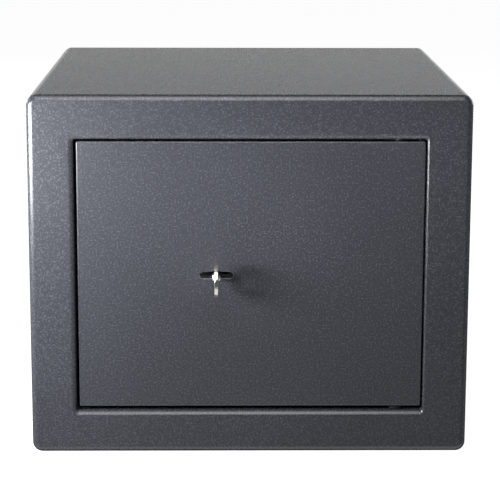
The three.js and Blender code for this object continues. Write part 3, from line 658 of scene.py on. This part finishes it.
for name, (u, v) in anchors.items():
    low, high = span(name)
    floor_plug = name.startswith("floor")
    seat = SHEET if floor_plug else BACK - SHEET
    head = (high.x - low.x) / 2
    stem = [(0, -2.5), (5.3, -2.5), (5.7, -2.0), (5.7, 0.1), (head - 0.4, 0.1)]
    profile = stem + arc(head - 0.5, 0.6, 0.5, -60, 0, 4) + [(head, 1.0)]
    profile += arc(head - 1.1, 1.0, 1.1, 10, 70, 5)
    profile += [(6.4, 2.12), (6.2, 1.8), (5.2, 1.8), (5.0, 2.15), (0, 2.2)]
    at = (u, v, seat) if floor_plug else (u, seat, v)
    plug = turned(name + "_moulded", profile, "z" if floor_plug else "y", at, 56, flip=not floor_plug)
    finished(plug, PLUG, "casing", [name])


# ------------------------------------------------------------------ floor mat

low, high = span("floor_mat")
mat_holes = [circle(*anchors[n], 10.5) for n in ("floor_anchor_plug_left", "floor_anchor_plug_right")]
mat_outline = round_rect(low.x, high.x, low.y, high.y, 4.0, 8)
mat = plate("floor_mat_felt", mat_outline, mat_holes, low.z, high.z, 0.9, "z", 3)
finished(mat, FELT, "casing", ["floor_mat"])


# ------------------------------------------------------------------ key

BOW_Y = key_low.y + 13.0
BOW_HALF_LONG, BOW_HALF_TALL, BOW_HALF_THICK, BOW_HOLE = 13.0, 12.5, 1.6, 7.5
SHANK = 3.0
SHANK_END = -194.0
TIP = key_high.y


def bow_outline(long, tall, power=2.3, steps=72):
    """A bow between an ellipse and a shield."""
    points = []
    for i in range(steps):
        t = 2 * math.pi * i / steps
        c, s = math.cos(t), math.sin(t)
        points.append((
            math.copysign(abs(c) ** (2 / power), c) * long + BOW_Y,
            math.copysign(abs(s) ** (2 / power), s) * tall + KEY_Z,
        ))
    return points


bow_edge = bow_outline(BOW_HALF_LONG, BOW_HALF_TALL)
bow_hole = circle(BOW_Y - 0.5, KEY_Z, BOW_HOLE, 48)
bow_sides = (KEY_X - BOW_HALF_THICK, KEY_X + BOW_HALF_THICK)
bow = plate("key_nickel", bow_edge, [bow_hole], *bow_sides, 0.7, "x", 4)
shank = [(0, SHANK_END), (2.2, SHANK_END), (SHANK + 0.3, SHANK_END + 0.8), (SHANK + 0.3, SHANK_END + 3.2)]
shank += [(SHANK + 0.1, SHANK_END + 3.5), (SHANK - 0.25, SHANK_END + 3.7), (SHANK - 0.25, SHANK_END + 4.1)]
shank += [(SHANK + 0.1, SHANK_END + 4.3), (SHANK + 0.3, SHANK_END + 4.6), (SHANK + 0.3, SHANK_END + 5.2)]
shank += [(SHANK, SHANK_END + 6.0), (SHANK, TIP - 0.8)]
shank += arc(SHANK - 0.8, TIP - 0.8, 0.8, 15, 90, 5) + [(0, TIP)]
stem = turned("stem", shank, "y", (KEY_X, 0, KEY_Z), 48)
bm = bmesh.new()
bm.from_mesh(NODES["key"].data)
bmesh.ops.remove_doubles(bm, verts=bm.verts, dist=1e-6)
bits = new_object("bits", bm)
BITS_START = -171.5
around = rectangle(KEY_X - 15, KEY_X + 15, KEY_Z - 15, KEY_Z + 15)
keep = plate("keep", around, [], BITS_START, TIP - 0.5, 0.05, "y", 1)
joined(bits, [keep], "INTERSECT")
joined(bow, [stem, bits], "UNION")
finished(bow, NICKEL, "key", ["key"])


# ------------------------------------------------------------------ floor, world and lights

floor_mesh = bpy.data.meshes.new("floor")
floor_mesh.from_pydata([(-150, -150, 0), (150, -150, 0), (150, 150, 0), (-150, 150, 0)], [], [(0, 1, 2, 3)])
floor = bpy.data.objects.new("floor", floor_mesh)
bpy.context.scene.collection.objects.link(floor)
g = Graph("pale_floor", Roughness=1.0, Specular_IOR_Level=0.0, Emission_Strength=0.93)
g.shader.inputs["Emission Color"].default_value = (1, 1, 1, 1)
g.color(g.mix(g.remap(g.noise(3, 2), 0.3, 0.7), (0.34, 0.34, 0.34), (0.37, 0.37, 0.37)))
floor_mesh.materials.append(g.mat)
floor.visible_glossy = False
floor.visible_diffuse = False

world = bpy.data.worlds.new("studio")
world.use_nodes = True
bpy.context.scene.world = world
tree = world.node_tree
facing = tree.nodes.new("ShaderNodeSeparateXYZ")
tree.links.new(tree.nodes.new("ShaderNodeTexCoord").outputs["Generated"], facing.inputs[0])


def step_up(value, start, end):
    """0 at start and 1 at end, smooth between, whichever of the two is higher."""
    node = tree.nodes.new("ShaderNodeMapRange")
    node.interpolation_type = "SMOOTHSTEP"
    node.inputs["From Min"].default_value = start
    node.inputs["From Max"].default_value = end
    tree.links.new(value, node.inputs["Value"])
    return node.outputs["Result"]


def world_math(how, a, b):
    node = tree.nodes.new("ShaderNodeMath")
    node.operation = how
    for socket, v in zip(node.inputs, (a, b)):
        if isinstance(v, (int, float)):
            socket.default_value = v
        else:
            tree.links.new(v, socket)
    return node.outputs[0]


UP, ALONG = facing.outputs["Z"], facing.outputs["Y"]
ASIDE = world_math("ABSOLUTE", facing.outputs["X"], 0)
low_band = world_math("MULTIPLY", step_up(UP, -0.08, -0.02), step_up(UP, 0.145, 0.105))
backdrop = world_math("MULTIPLY", low_band, step_up(ALONG, 0.1, 0.3))
ground = world_math("MULTIPLY", step_up(UP, -0.22, -0.28), step_up(ALONG, 0.1, -0.1))
deep = world_math("MULTIPLY", step_up(UP, -0.4, -0.6), step_up(ALONG, 0.1, -0.1))
wings = world_math("MULTIPLY", step_up(ASIDE, 0.78, 0.92), step_up(UP, 0.6, 0.3))
glow = world_math("ADD", world_math("MULTIPLY", backdrop, 1.3), world_math("MULTIPLY", ground, 0.2))
glow = world_math("ADD", glow, world_math("MULTIPLY", wings, 0.3))
glow = world_math("ADD", glow, world_math("MULTIPLY", deep, 0.8))
glow = world_math("ADD", glow, world_math("MULTIPLY", step_up(UP, 0.8, 0.95), 0.3))
tree.links.new(world_math("ADD", glow, 0.02), tree.nodes["Background"].inputs["Color"])


def softbox(name, at, target, size, watts, spread=180):
    """A soft rectangular lamp aimed at a point; the camera doesn't see it."""
    data = bpy.data.lights.new(name, "AREA")
    data.shape = "RECTANGLE"
    data.size, data.size_y = size
    data.energy = watts
    data.spread = math.radians(spread)
    obj = bpy.data.objects.new(name, data)
    bpy.context.scene.collection.objects.link(obj)
    obj.location = at
    obj.rotation_euler = (Vector(target) - Vector(at)).to_track_quat("-Z", "Y").to_euler()
    obj.visible_camera = False
    return obj


softbox("key_light", (-0.38, -0.40, 0.228), (-0.12, -0.185, 0.25), (0.30, 0.11), 4.7)
softbox("key_pool", (-0.62, -0.62, 0.25), (-0.05, -0.185, 0.25), (0.30, 0.07), 0.24, 24)
softbox("front_strip_low", (-0.02, -1.50, 0.95), (-0.02, -0.185, 0.29), (0.7, 0.5), 4.3)
softbox("front_strip_mid", (-0.02, -1.10, 1.35), (-0.02, -0.185, 0.29), (0.7, 0.5), 4.8)
softbox("front_strip_high", (-0.02, -0.60, 1.50), (-0.02, -0.185, 0.29), (0.7, 0.5), 3.0)
for side in (-1, 1):
    softbox("rear_fill", (1.5 * side, 0.9, 0.75), (0, 0.1, 0.15), (1.6, 1.2), 14.0)
